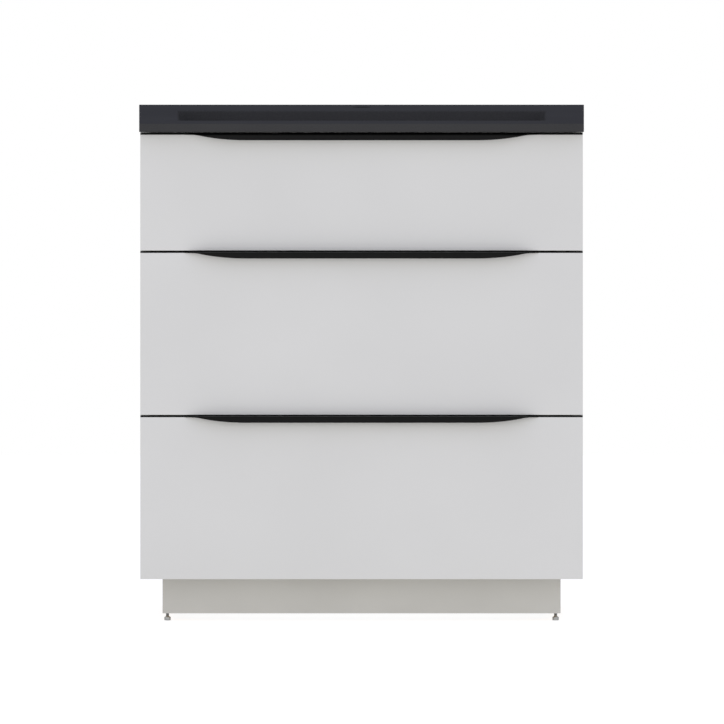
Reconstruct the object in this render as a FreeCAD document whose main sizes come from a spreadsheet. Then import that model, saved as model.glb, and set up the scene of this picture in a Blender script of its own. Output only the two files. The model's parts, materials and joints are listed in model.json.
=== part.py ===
import FreeCAD, Part
import os
import Sketcher

# Base cabinet with three drawers under a moulded top with a shallow basin.
# Frame: millimetres, +Z up, origin on the floor at the middle of the plan, front towards -Y.

DOC = FreeCAD.newDocument("base_cabinet")
SHEET = DOC.addObject("Spreadsheet::Sheet", "Sizes")

SIZES = (
    # carcass
    ("carcass_wide", 796),
    ("carcass_deep", 558),
    ("board_thick", 18),
    ("back_thick", 8),
    ("back_set", 20),
    ("groove_deep", 8),
    ("groove_play", 0.2),
    ("front_rail_high", 70),
    ("front_rail_set", 20),
    ("rear_rail_high", 100),
    ("cam_round", 15),
    ("cam_deep", 12.5),
    ("cam_play", 0.1),
    ("cam_from_side", 24),
    ("cam_from_end", 60),
    # plinth and levelling glides
    ("plinth_high", 65),
    ("plinth_inset", 40),
    ("plinth_block", 45),
    ("glide_show", 13),
    ("stem_round", 6),
    ("stem_in", 30),
    ("stem_play", 0.08),
    ("stem_room", 2),
    ("glide_head_across", 10),
    ("glide_head_high", 6.5),
    ("glide_head_bevel", 0.7),
    ("socket_round", 10),
    ("socket_long", 20),
    # moulded top, basin, holes
    ("top_thick", 15),
    ("top_over_side", 2),
    ("top_over_front", 21),
    ("top_arris", 1),
    ("basin_from_side", 70),
    ("basin_run", 331),
    ("basin_from_front", 95),
    ("basin_deep", 110),
    ("basin_draft", 16),
    ("basin_wall", 12),
    ("basin_round", 9),
    ("basin_rim_round", 5),
    ("dish_round", 130),
    ("dish_drop", 4),
    ("waste_round", 45),
    ("waste_from_rim", 110),
    ("tap_round", 35),
    ("tap_from_back", 79),
    ("angle_leg", 30),
    ("angle_sheet", 2),
    ("angle_wide", 25),
    ("angle_from_end", 110),
    # drawer fronts
    ("front_thick", 19),
    ("front_arris", 0.8),
    ("close_gap", 2),
    ("front_joint", 4),
    ("top_joint", 6),
    ("bottom_front_high", 292),
    ("middle_front_high", 292),
    ("top_front_high", 209),
    ("bumper_round", 8),
    ("bumper_play", 0.3),
    ("bumper_from_end", 30),
    # edge-pull handles
    ("handle_half", 320),
    ("handle_shoulder", 255),
    ("handle_reach", 18),
    ("handle_plate", 2),
    ("lip_thick", 2.5),
    ("lip_drop", 9.2),
    ("lip_flat_half", 208),
    ("lip_fade", 82),
    ("lip_flick", 16),
    ("lip_round", 4),
    ("flange_sheet", 1.5),
    ("flange_drop", 25),
    ("screw_drop", 14),
    ("screw_inner", 80),
    ("screw_outer", 240),
    ("screw_round", 3.5),
    ("screw_head_round", 8),
    ("screw_head_thick", 2),
    ("screw_in", 12),
    ("screw_tip_room", 1),
    ("screw_play", 0.1),
    # drawer boxes
    ("box_deep", 500),
    ("box_rise", 22),
    ("steel_high", 80),
    ("steel_sheet", 1.2),
    ("steel_wall", 12.5),
    ("steel_shelf", 32),
    ("steel_round", 2),
    ("box_board", 16),
    ("tall_back_high", 200),
    ("gallery_rise", 170),
    ("gallery_high", 22),
    ("gallery_inset", 1),
    ("gallery_round", 3),
    ("clip_sheet", 1.5),
    ("clip_long", 35),
    ("clip_margin", 18),
    ("clip_play", 0.3),
    ("trap_half", 115),
    ("trap_reach", 75),
    ("trap_round", 22),
    ("guard_thick", 3),
    # telescopic runners
    ("runner_space", 13),
    ("runner_high", 45),
    ("runner_sheet", 1.5),
    ("runner_lip", 2),
    ("runner_play", 0.3),
    ("runner_long", 500),
    ("runner_set", 3),
    ("runner_rise", 48),
    ("fix_round", 4),
    ("fix_play", 0.1),
    ("fix_head_round", 7),
    ("fix_head_thick", 1.6),
    ("fix_in", 12),
    ("fix_tip_room", 1),
    ("fix_first", 35),
    ("fix_step", 192),
)

for row, (alias, number) in enumerate(SIZES, start=1):
    SHEET.set(f"A{row}", alias)
    SHEET.set(f"B{row}", str(number))
    SHEET.setAlias(f"B{row}", alias)
DOC.recompute()

# Places that follow from the sizes, as expressions of the sheet's cells
INNER_HALF = "(Sizes.carcass_wide / 2 - Sizes.board_thick)"
CARCASS_HIGH = ("(Sizes.bottom_front_high + Sizes.middle_front_high + Sizes.top_front_high"
                " + 2 * Sizes.front_joint + Sizes.top_joint)")
CARCASS_LOW = "(Sizes.glide_show + Sizes.plinth_high)"
TOP_DEEP = "(Sizes.top_over_front + Sizes.front_thick + Sizes.close_gap + Sizes.carcass_deep)"
TOP_EDGE_Y = f"(-{TOP_DEEP} / 2)"
FRONT_BACK_Y = f"({TOP_EDGE_Y} + Sizes.top_over_front + Sizes.front_thick)"
CARCASS_Y = f"({FRONT_BACK_Y} + Sizes.close_gap)"
BACK_PANEL_Y = "(Sizes.carcass_deep - Sizes.back_set - Sizes.back_thick)"
PLINTH_HALF = "(Sizes.carcass_wide / 2 - Sizes.plinth_inset)"
PLINTH_DEEP = "(Sizes.carcass_deep - 2 * Sizes.plinth_inset)"
BASIN_HALF = "(Sizes.carcass_wide / 2 + Sizes.top_over_side - Sizes.basin_from_side)"
WASTE_Y = "(Sizes.basin_from_front + Sizes.basin_run - Sizes.waste_from_rim)"
BOX_HALF = f"({INNER_HALF} - Sizes.runner_space)"
BOX_INNER_HALF = f"({BOX_HALF} - Sizes.steel_wall)"
BOX_FLOOR = "(Sizes.box_rise + Sizes.steel_sheet + Sizes.box_board)"
BOX_TOP = "(Sizes.box_rise + Sizes.steel_high)"
TRAP_FRONT = (f"({WASTE_Y} - Sizes.top_over_front - Sizes.front_thick - Sizes.trap_reach)")

CARCASS_AT = ("0", CARCASS_Y, CARCASS_LOW)
PLINTH_AT = ("0", f"{CARCASS_Y} + Sizes.plinth_inset", "Sizes.glide_show")
TOP_AT = ("0", TOP_EDGE_Y, f"{CARCASS_LOW} + {CARCASS_HIGH}")

# Each drawer: the height of its front's lower edge over the carcass bottom, and its front's height
BOTTOM_LEVEL = "0"
MIDDLE_LEVEL = "(Sizes.bottom_front_high + Sizes.front_joint)"
TOP_LEVEL = f"({MIDDLE_LEVEL} + Sizes.middle_front_high + Sizes.front_joint)"
DRAWERS = (
    ("bottom", BOTTOM_LEVEL, "Sizes.bottom_front_high"),
    ("middle", MIDDLE_LEVEL, "Sizes.middle_front_high"),
    ("top", TOP_LEVEL, "Sizes.top_front_high"),
)
SIDES = (("left", -1), ("right", 1))
BUILT = []

PAST = 1            # how far a cut runs on beyond the solid that it cuts
NEAR = 1e-4         # how far apart two places may be and still count as one
FASTENER_SIDES = 6  # flats on small screws and on their bores, which keep the model light
STOP_SIDES = 8      # the same for bumpers and sockets
CAM_SIDES = 12      # the same for cam locks


def value(expression):
    """The number that an expression of the sizes has now."""
    number = SHEET.evalExpression(expression)
    return float(getattr(number, "Value", number))


def sub_part(label, at):
    """A body for one piece, standing at a place given by three expressions."""
    body = DOC.addObject("PartDesign::Body", label)
    body.Label = label
    body.AllowCompound = True
    for axis, place in zip("xyz", at):
        body.setExpression(f"Placement.Base.{axis}", place)
    BUILT.append(body)
    return body


def sketch(body, name, role, height="0"):
    """A sketch on one of the body's own origin planes, lifted along the plane's normal."""
    sk = body.newObject("Sketcher::SketchObject", f"{body.Label}_{name}")
    plane = next(item for item in body.Origin.OriginFeatures if item.Role == role)
    sk.AttachmentSupport = (plane, [""])
    sk.MapMode = "FlatFace"
    sk.setExpression("AttachmentOffset.Base.z", height)
    return sk


def hold(sk, bound):
    """Add constraints to a sketch, each paired with the expression of its value or with None."""
    indices = sk.addConstraint([constraint for constraint, _ in bound])
    for index, (_, expression) in zip(indices, bound):
        if expression:
            sk.setExpression(f"Constraints[{index}]", expression)


def pin(curve, end, x, y):
    """Constraints that hold one point of a curve at a place given by two expressions."""
    return [(Sketcher.Constraint("DistanceX", -1, 1, curve, end, value(x)), x),
            (Sketcher.Constraint("DistanceY", -1, 1, curve, end, value(y)), y)]


def traced(sk, points, arcs):
    """Draw a closed outline through points and give the constraints that hold it."""
    spots = [FreeCAD.Vector(value(x), value(y), 0) for x, y in points]
    count = len(points)
    ends = []
    bound = []
    for i, spot in enumerate(spots):
        after = spots[(i + 1) % count]
        if i not in arcs:
            curve = sk.addGeometry(Part.LineSegment(spot, after))
            ends.append((curve, 1, 2))
            continue
        centre_x, bulge = arcs[i]
        chord = after - spot
        middle = (spot + after) / 2 + FreeCAD.Vector(-chord.y, chord.x, 0).normalize() * bulge
        curve = sk.addGeometry(Part.Arc(spot, middle, after))
        starts_here = sk.getPoint(curve, 1).distanceToPoint(spot) < NEAR
        ends.append((curve, 1, 2) if starts_here else (curve, 2, 1))
        across = Sketcher.Constraint("DistanceX", -1, 1, curve, 3, value(centre_x))
        bound.append((across, centre_x))
    for i, (x, y) in enumerate(points):
        curve, first, last = ends[i]
        follower, follower_first, _ = ends[(i + 1) % count]
        joined = Sketcher.Constraint("Coincident", curve, last, follower, follower_first)
        bound.append((joined, None))
        bound += pin(curve, first, x, y)
    return bound


def outline(sk, points, arcs=None):
    """A closed outline through points; arcs[i] gives the centre's x and a bulge for side i."""
    hold(sk, traced(sk, points, arcs or {}))


def rectangle(sk, low_x, high_x, low_y, high_y):
    """A rectangle between two places on each axis."""
    outline(sk, [(low_x, low_y), (high_x, low_y), (high_x, high_y), (low_x, high_y)])


def circles(sk, centres, diameter):
    """Circles of one diameter round a list of places."""
    radius = f"{diameter} / 2"
    bound = []
    for x, y in centres:
        spot = FreeCAD.Vector(value(x), value(y), 0)
        curve = sk.addGeometry(Part.Circle(spot, FreeCAD.Vector(0, 0, 1), value(radius)))
        bound += pin(curve, 3, x, y)
        bound.append((Sketcher.Constraint("Radius", curve, value(radius)), radius))
    hold(sk, bound)


def polygons(sk, centres, across, sides):
    """Regular outlines round a list of places, each with flats across a distance."""
    corner = f"({across} / 2 / cos({180 / sides} deg))"
    turns = [360 / sides * (step + 0.5) for step in range(sides)]
    bound = []
    for x, y in centres:
        bound += traced(sk, [(f"{x} + {corner} * cos({turn} deg)",
                              f"{y} + {corner} * sin({turn} deg)") for turn in turns], {})
    hold(sk, bound)


def feature(body, kind, sk, length, backwards=False):
    """A pad or pocket of a sketch, checked to have added or taken material."""
    before = body.Shape.Volume if body.Tip else 0
    made = body.newObject(f"PartDesign::{kind}", f"{sk.Name}_{kind.lower()}")
    made.Profile = sk
    made.Reversed = backwards
    made.setExpression("Length", length)
    DOC.recompute()
    change = made.Shape.Volume - before
    if (change <= 0) == (kind == "Pad"):
        raise RuntimeError(f"{made.Name} changed nothing")
    return made


def dress(body, kind, size, chosen):
    """Round or bevel the edges of the body's tip that a test picks."""
    tip = body.Tip
    names = [f"Edge{i}" for i, edge in enumerate(tip.Shape.Edges, start=1) if chosen(edge)]
    made = body.newObject(f"PartDesign::{kind}", f"{body.Label}_{kind.lower()}")
    made.Base = (tip, names)
    made.setExpression("Radius" if kind == "Fillet" else "Size", size)
    DOC.recompute()
    return made


def block(label, at, x, y, z):
    """A plain board between two places on each axis."""
    body = sub_part(label, at)
    face = sketch(body, "face", "XY_Plane", z[0])
    rectangle(face, x[0], x[1], y[0], y[1])
    feature(body, "Pad", face, f"{z[1]} - {z[0]}")
    return body


def along(edge, axis):
    """True for a straight edge that runs along one axis only."""
    box = edge.BoundBox
    spans = {"x": box.XLength, "y": box.YLength, "z": box.ZLength}
    length = spans.pop(axis)
    return length > NEAR and max(spans.values()) < NEAR


def at_height(edge, z):
    """True for an edge that lies level at a height of its body."""
    return abs(edge.BoundBox.ZMin - z) < NEAR and abs(edge.BoundBox.ZMax - z) < NEAR


def flip(side, expression):
    """An x place mirrored to the left or right half."""
    return f"{side} * ({expression})"


# ---------------------------------------------------------------- moulded top with its basin
def basin_block(body, name, kind, level, outset, deep):
    """An upright block below a level, its sides outset from the basin's rim."""
    face = sketch(body, name, "XY_Plane", level)
    half = f"({BASIN_HALF} + {outset})"
    rectangle(face, f"-{half}", half, f"Sizes.basin_from_front - {outset}",
              f"Sizes.basin_from_front + Sizes.basin_run + {outset}")
    feature(body, kind, face, deep, backwards=kind == "Pad")


def lean_in(body, name, level, deep, outside):
    """Draft the four upright walls that go down from a level, inwards from their line there."""
    before = body.Tip
    top = value(level)
    tall = value(deep)
    walls = [f"Face{i}" for i, wall in enumerate(before.Shape.Faces, start=1)
             if abs(wall.normalAt(0, 0).z) < NEAR and abs(wall.BoundBox.ZMax - top) < NEAR
             and abs(wall.BoundBox.ZLength - tall) < NEAR]
    if len(walls) != 4:
        raise RuntimeError(f"{name} found {len(walls)} walls")
    neutral = body.newObject("PartDesign::Plane", f"{body.Label}_{name}_level")
    plane = next(item for item in body.Origin.OriginFeatures if item.Role == "XY_Plane")
    neutral.AttachmentSupport = (plane, [""])
    neutral.MapMode = "FlatFace"
    neutral.setExpression("AttachmentOffset.Base.z", level)
    lean = body.newObject("PartDesign::Draft", f"{body.Label}_{name}_draft")
    lean.Base = (before, walls)
    lean.NeutralPlane = (neutral, [""])
    lean.Reversed = outside
    lean.setExpression("Angle", "Sizes.basin_draft * 1 deg")
    DOC.recompute()
    if (lean.Shape.Volume > before.Shape.Volume) == outside:
        raise RuntimeError(f"{name} leans outwards")


def leans(edge):
    """True for the edge between two drafted walls, which runs along all three axes."""
    box = edge.BoundBox
    return min(box.XLength, box.YLength, box.ZLength) > value("Sizes.basin_round") / 2


def top_with_basin():
    body = sub_part("top_with_basin", TOP_AT)
    slab = sketch(body, "slab", "XY_Plane")
    half = "(Sizes.carcass_wide / 2 + Sizes.top_over_side)"
    rectangle(slab, f"-{half}", half, "0", TOP_DEEP)
    feature(body, "Pad", slab, "Sizes.top_thick")
    thick = value("Sizes.top_thick")
    dress(body, "Fillet", "Sizes.top_arris", lambda edge: at_height(edge, thick))

    # the shell stays one wall outside the hollow, measured square to the drafted walls
    outset = ("(Sizes.basin_wall / cos(Sizes.basin_draft * 1 deg)"
              " - Sizes.top_thick * tan(Sizes.basin_draft * 1 deg))")
    shell_deep = "(Sizes.basin_deep - Sizes.top_thick + Sizes.basin_wall)"
    basin_block(body, "shell", "Pad", "0", outset, shell_deep)
    basin_block(body, "hollow", "Pocket", "Sizes.top_thick", "0", "Sizes.basin_deep")
    lean_in(body, "hollow", "Sizes.top_thick", "Sizes.basin_deep", outside=False)
    lean_in(body, "shell", "0", shell_deep, outside=True)
    low = -value(shell_deep)
    floor = thick - value("Sizes.basin_deep")
    dress(body, "Fillet", "Sizes.basin_round + Sizes.basin_wall",
          lambda edge: leans(edge) and edge.BoundBox.ZMax < NEAR or at_height(edge, low))
    dress(body, "Fillet", "Sizes.basin_round",
          lambda edge: leans(edge) and edge.BoundBox.ZMax > thick - NEAR
          or at_height(edge, floor))
    rim_low = value("Sizes.basin_from_front") - PAST
    rim_high = value("Sizes.basin_from_front + Sizes.basin_run") + PAST
    dress(body, "Fillet", "Sizes.basin_rim_round",
          lambda edge: at_height(edge, thick) and edge.BoundBox.YMin > rim_low
          and edge.BoundBox.YMax < rim_high)

    # the floor falls to the waste in a shallow dish
    dish = sketch(body, "dish", "XZ_Plane", f"-{WASTE_Y}")
    level = "(Sizes.top_thick - Sizes.basin_deep)"
    outline(dish, [("0", f"{level} - Sizes.dish_drop"),
                   ("Sizes.waste_round / 2", f"{level} - Sizes.dish_drop"),
                   ("Sizes.dish_round / 2", level),
                   ("Sizes.dish_round / 2", f"{level} + {PAST}"),
                   ("0", f"{level} + {PAST}")])
    fall = body.newObject("PartDesign::Groove", "dish_groove")
    fall.Profile = dish
    fall.ReferenceAxis = (dish, ["V_Axis"])
    fall.Angle = 360
    DOC.recompute()

    holes = sketch(body, "waste_hole", "XY_Plane", "Sizes.top_thick")
    circles(holes, [("0", WASTE_Y)], "Sizes.waste_round")
    feature(body, "Pocket", holes, f"Sizes.basin_deep + Sizes.basin_wall + {PAST}")
    tap = sketch(body, "tap_hole", "XY_Plane", "Sizes.top_thick")
    circles(tap, [("0", f"{TOP_DEEP} - Sizes.tap_from_back")], "Sizes.tap_round")
    feature(body, "Pocket", tap, f"Sizes.top_thick + {PAST}")


def top_brackets():
    body = sub_part("top_brackets", CARCASS_AT)
    for name, start in (("front", "Sizes.angle_from_end"),
                        ("rear", f"({BACK_PANEL_Y} - Sizes.angle_from_end)")):
        for word, side in SIDES:
            angle = sketch(body, f"{name}_{word}", "XZ_Plane", f"-{start}")
            face = INNER_HALF
            tip = f"({INNER_HALF} - Sizes.angle_leg)"
            inside = f"({INNER_HALF} - Sizes.angle_sheet)"
            top = CARCASS_HIGH
            under = f"({CARCASS_HIGH} - Sizes.angle_sheet)"
            foot = f"({CARCASS_HIGH} - Sizes.angle_leg)"
            corners = [(face, foot), (face, top), (tip, top), (tip, under),
                       (inside, under), (inside, foot)]
            outline(angle, [(flip(side, x), z) for x, z in corners])
            feature(body, "Pad", angle, "Sizes.angle_wide", backwards=True)


# ---------------------------------------------------------------- carcass
def runner_fixings(level):
    """Places of one runner's screws: depth behind the carcass front, height over its bottom."""
    height = f"({level} + Sizes.runner_rise)"
    return [(f"Sizes.runner_set + Sizes.fix_first + {step} * Sizes.fix_step", height)
            for step in range(3)]


def side_panel(word, side):
    body = block(f"side_panel_{word}", CARCASS_AT,
                 (flip(side, INNER_HALF), flip(side, "Sizes.carcass_wide / 2")),
                 ("0", "Sizes.carcass_deep"), ("0", CARCASS_HIGH))
    groove = sketch(body, "back_groove", "XY_Plane", CARCASS_HIGH)
    rectangle(groove, flip(side, INNER_HALF), flip(side, f"{INNER_HALF} + Sizes.groove_deep"),
              f"{BACK_PANEL_Y} - Sizes.groove_play",
              f"{BACK_PANEL_Y} + Sizes.back_thick + Sizes.groove_play")
    feature(body, "Pocket", groove, CARCASS_HIGH)
    for drawer, level, _ in DRAWERS:
        bores = sketch(body, f"{drawer}_bores", "YZ_Plane", flip(side, INNER_HALF))
        polygons(bores, runner_fixings(level), "(Sizes.fix_round + 2 * Sizes.fix_play)",
                 FASTENER_SIDES)
        feature(body, "Pocket", bores, "Sizes.fix_in + Sizes.fix_tip_room", backwards=side > 0)


CAM_X = f"({INNER_HALF} - Sizes.cam_from_side)"
CAM_SPOTS = [(flip(side, CAM_X), y) for _, side in SIDES
             for y in ("Sizes.cam_from_end", "(Sizes.carcass_deep - Sizes.cam_from_end)")]


def cam_places(low, high):
    """Cam locks of an upright rail, one near each end at half its height."""
    return [(flip(side, CAM_X), f"({low} + {high}) / 2") for _, side in SIDES]


RAIL_LOW = {"front": f"({CARCASS_HIGH} - Sizes.front_rail_high)",
            "rear": f"({CARCASS_HIGH} - Sizes.rear_rail_high)"}
RAIL_Y = {"front": "Sizes.front_rail_set",
          "rear": f"({BACK_PANEL_Y} - Sizes.board_thick)"}


def bottom_panel():
    body = block("bottom_panel", CARCASS_AT, (f"-{INNER_HALF}", INNER_HALF),
                 ("0", "Sizes.carcass_deep"), ("0", "Sizes.board_thick"))
    seats = sketch(body, "cam_seats", "XY_Plane")
    polygons(seats, CAM_SPOTS, "(Sizes.cam_round + 2 * Sizes.cam_play)", CAM_SIDES)
    feature(body, "Pocket", seats, "Sizes.cam_deep", backwards=True)


def rail(word):
    low = RAIL_LOW[word]
    start = RAIL_Y[word]
    body = block(f"{word}_rail", CARCASS_AT, (f"-{INNER_HALF}", INNER_HALF),
                 (start, f"({start} + Sizes.board_thick)"), (low, CARCASS_HIGH))
    seats = sketch(body, "cam_seats", "XZ_Plane", f"-{start}")
    polygons(seats, cam_places(low, CARCASS_HIGH),
             "(Sizes.cam_round + 2 * Sizes.cam_play)", CAM_SIDES)
    feature(body, "Pocket", seats, "Sizes.cam_deep")


def cam_locks():
    body = sub_part("cam_locks", CARCASS_AT)
    floor = sketch(body, "floor", "XY_Plane")
    polygons(floor, CAM_SPOTS, "Sizes.cam_round", CAM_SIDES)
    feature(body, "Pad", floor, "Sizes.cam_deep")
    for word in ("front", "rear"):
        seats = sketch(body, word, "XZ_Plane", f"-{RAIL_Y[word]}")
        polygons(seats, cam_places(RAIL_LOW[word], CARCASS_HIGH), "Sizes.cam_round",
                 CAM_SIDES)
        feature(body, "Pad", seats, "Sizes.cam_deep", backwards=True)


def back_panel():
    half = f"({INNER_HALF} + Sizes.groove_deep - Sizes.groove_play)"
    block("back_panel", CARCASS_AT, (f"-{half}", half),
          (BACK_PANEL_Y, f"({BACK_PANEL_Y} + Sizes.back_thick)"),
          ("Sizes.board_thick", CARCASS_HIGH))


def front_bumpers():
    """Small stops on the front edges of the side panels, two for each end of a front."""
    body = sub_part("front_bumpers", CARCASS_AT)
    edge = "(Sizes.carcass_wide / 2 - Sizes.board_thick / 2)"
    for drawer, level, high in DRAWERS:
        face = sketch(body, drawer, "XZ_Plane")
        polygons(face, [(flip(side, edge), z) for _, side in SIDES
                        for z in (f"({level} + Sizes.bumper_from_end)",
                                  f"({level} + {high} - Sizes.bumper_from_end)")],
                 "Sizes.bumper_round", STOP_SIDES)
        feature(body, "Pad", face, "Sizes.close_gap - Sizes.bumper_play")


# ---------------------------------------------------------------- plinth and levelling glides
GLIDE_X = f"({PLINTH_HALF} - Sizes.board_thick / 2)"
GLIDE_Y = {"front": "(Sizes.board_thick / 2)",
           "rear": f"({PLINTH_DEEP} - Sizes.board_thick / 2)"}


def plinth():
    z = ("0", "Sizes.plinth_high")
    inner_end = f"({PLINTH_DEEP} - Sizes.board_thick)"
    for word, start in (("front", "0"), ("rear", inner_end)):
        body = block(f"plinth_{word}", PLINTH_AT, (f"-{PLINTH_HALF}", PLINTH_HALF),
                     (start, f"({start} + Sizes.board_thick)"), z)
        spots = [(flip(side, GLIDE_X), GLIDE_Y[word]) for _, side in SIDES]
        seats = sketch(body, "socket_bores", "XY_Plane")
        polygons(seats, spots, "Sizes.socket_round", STOP_SIDES)
        feature(body, "Pocket", seats, "Sizes.socket_long", backwards=True)
        stems = sketch(body, "stem_bores", "XY_Plane")
        polygons(stems, spots, "(Sizes.stem_round + Sizes.stem_room)", STOP_SIDES)
        feature(body, "Pocket", stems, "Sizes.stem_in + Sizes.stem_room", backwards=True)
    for word, side in SIDES:
        block(f"plinth_{word}", PLINTH_AT,
              (flip(side, f"{PLINTH_HALF} - Sizes.board_thick"), flip(side, PLINTH_HALF)),
              ("Sizes.board_thick", inner_end), z)


def plinth_blocks():
    """Triangular glue blocks in the four inner corners of the plinth."""
    body = sub_part("plinth_blocks", PLINTH_AT)
    face = sketch(body, "face", "XY_Plane")
    inner_x = f"({PLINTH_HALF} - Sizes.board_thick)"
    for _, side in SIDES:
        for near, sign in (("Sizes.board_thick", 1),
                           (f"({PLINTH_DEEP} - Sizes.board_thick)", -1)):
            outline(face, [(flip(side, inner_x), near),
                           (flip(side, f"{inner_x} - Sizes.plinth_block"), near),
                           (flip(side, inner_x), f"{near} + {sign} * Sizes.plinth_block")])
    feature(body, "Pad", face, "Sizes.plinth_high")


def glide_sockets():
    body = sub_part("glide_sockets", PLINTH_AT)
    for end, y in GLIDE_Y.items():
        face = sketch(body, end, "XY_Plane")
        spots = [(flip(side, GLIDE_X), y) for _, side in SIDES]
        polygons(face, spots, "Sizes.socket_round", STOP_SIDES)
        polygons(face, spots, "(Sizes.stem_round + 2 * Sizes.stem_play)", STOP_SIDES)
        feature(body, "Pad", face, "Sizes.socket_long")


def levelling_glide(end, word, side):
    """A levelling screw that stands on its six-sided head, its stem up in the plinth."""
    body = sub_part(f"levelling_glide_{end}_{word}",
                    (flip(side, GLIDE_X), f"{CARCASS_Y} + Sizes.plinth_inset + {GLIDE_Y[end]}",
                     "0"))
    head = sketch(body, "head", "XY_Plane")
    polygons(head, [("0", "0")], "Sizes.glide_head_across", 6)
    feature(body, "Pad", head, "Sizes.glide_head_high")
    dress(body, "Chamfer", "Sizes.glide_head_bevel",
          lambda edge: at_height(edge, 0) or at_height(edge, value("Sizes.glide_head_high")))
    stem = sketch(body, "stem", "XY_Plane", "Sizes.glide_head_high")
    circles(stem, [("0", "0")], "Sizes.stem_round")
    feature(body, "Pad", stem, "Sizes.glide_show + Sizes.stem_in - Sizes.glide_head_high")


# ---------------------------------------------------------------- telescopic runners
RUNNER_HALF = "(Sizes.runner_high / 2)"
SHEET_T = "Sizes.runner_sheet"
WEB_NEAR = f"((Sizes.runner_space - {SHEET_T}) / 2)"
WEB_FAR = f"({WEB_NEAR} + {SHEET_T})"
MIDDLE_HALF = f"({RUNNER_HALF} - {SHEET_T} - Sizes.runner_lip - Sizes.runner_play)"
INNER_MEMBER_HALF = f"({MIDDLE_HALF} - {SHEET_T} - Sizes.runner_play)"


def outer_member():
    """C section on the side panel, with lips that hook over the middle member."""
    lip_in = f"({WEB_NEAR} - {SHEET_T})"
    lip_end = f"({RUNNER_HALF} - {SHEET_T} - Sizes.runner_lip)"
    face = f"({RUNNER_HALF} - {SHEET_T})"
    upper = [(SHEET_T, face), (lip_in, face), (lip_in, lip_end), (WEB_NEAR, lip_end),
             (WEB_NEAR, RUNNER_HALF), ("0", RUNNER_HALF)]
    return upper + [(u, f"-{v}") for u, v in reversed(upper)]


def middle_member():
    """I section: its near flanges run in the outer member, its far ones carry the inner one."""
    near = f"({SHEET_T} + Sizes.runner_play)"
    far = f"(Sizes.runner_space - {near})"
    face = f"({MIDDLE_HALF} - {SHEET_T})"
    upper = [(WEB_NEAR, face), (near, face), (near, MIDDLE_HALF), (far, MIDDLE_HALF),
             (far, face), (WEB_FAR, face)]
    return upper + [(u, f"-{v}") for u, v in reversed(upper)]


def inner_member():
    """C section on the drawer side, nested between the middle member's far flanges."""
    start = f"({WEB_FAR} + Sizes.runner_play)"
    web = f"(Sizes.runner_space - {SHEET_T})"
    face = f"({INNER_MEMBER_HALF} - {SHEET_T})"
    upper = [(web, face), (start, face), (start, INNER_MEMBER_HALF),
             ("Sizes.runner_space", INNER_MEMBER_HALF)]
    return upper + [(u, f"-{v}") for u, v in reversed(upper)]


def runner(kind, drawer, level, section):
    """One member of a drawer's runners, a mirrored pair beside the drawer."""
    body = sub_part(f"runner_{kind}_{drawer}", CARCASS_AT)
    profile = sketch(body, "section", "XZ_Plane", "-Sizes.runner_set")
    height = f"({level} + Sizes.runner_rise)"
    for _, side in SIDES:
        outline(profile, [(flip(side, f"{INNER_HALF} - {u}"), f"{height} + {v}")
                          for u, v in section])
    feature(body, "Pad", profile, "Sizes.runner_long", backwards=True)
    if kind == "outer":
        for word, side in SIDES:
            bores = sketch(body, f"bores_{word}", "YZ_Plane", flip(side, INNER_HALF))
            polygons(bores, runner_fixings(level), "(Sizes.fix_round + 2 * Sizes.fix_play)",
                     FASTENER_SIDES)
            feature(body, "Pocket", bores, SHEET_T, backwards=side < 0)


def runner_screws():
    body = sub_part("runner_screws", CARCASS_AT)
    for drawer, level, _ in DRAWERS:
        for word, side in SIDES:
            web = flip(side, f"{INNER_HALF} - {SHEET_T}")
            shanks = sketch(body, f"{drawer}_shanks_{word}", "YZ_Plane", web)
            polygons(shanks, runner_fixings(level), "Sizes.fix_round", FASTENER_SIDES)
            feature(body, "Pad", shanks, f"Sizes.fix_in + {SHEET_T}", backwards=side < 0)
            heads = sketch(body, f"{drawer}_heads_{word}", "YZ_Plane", web)
            polygons(heads, runner_fixings(level), "Sizes.fix_head_round", FASTENER_SIDES)
            feature(body, "Pad", heads, "Sizes.fix_head_thick", backwards=side > 0)


# ---------------------------------------------------------------- drawers
# How far the handle's arcs swell from their chords, roughly: which way each one bends
PLAN_BULGE = 5
FADE_BULGE = 2
FLICK_BULGE = 0.3


def handle_screw_spots(high):
    return [(flip(side, x), f"({high} - Sizes.screw_drop)")
            for _, side in SIDES for x in ("Sizes.screw_inner", "Sizes.screw_outer")]


def drawer_front(drawer, at, high):
    half = "(Sizes.carcass_wide / 2)"
    body = block(f"drawer_{drawer}_front", at, (f"-{half}", half),
                 ("-Sizes.front_thick", "0"), ("0", high))
    face = -value("Sizes.front_thick")
    dress(body, "Fillet", "Sizes.front_arris",
          lambda edge: edge.BoundBox.YMax < face + NEAR)
    bores = sketch(body, "screw_bores", "XZ_Plane")
    polygons(bores, handle_screw_spots(high), "(Sizes.screw_round + 2 * Sizes.screw_play)",
             FASTENER_SIDES)
    feature(body, "Pocket", bores, "Sizes.screw_in + Sizes.screw_tip_room", backwards=True)


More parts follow.
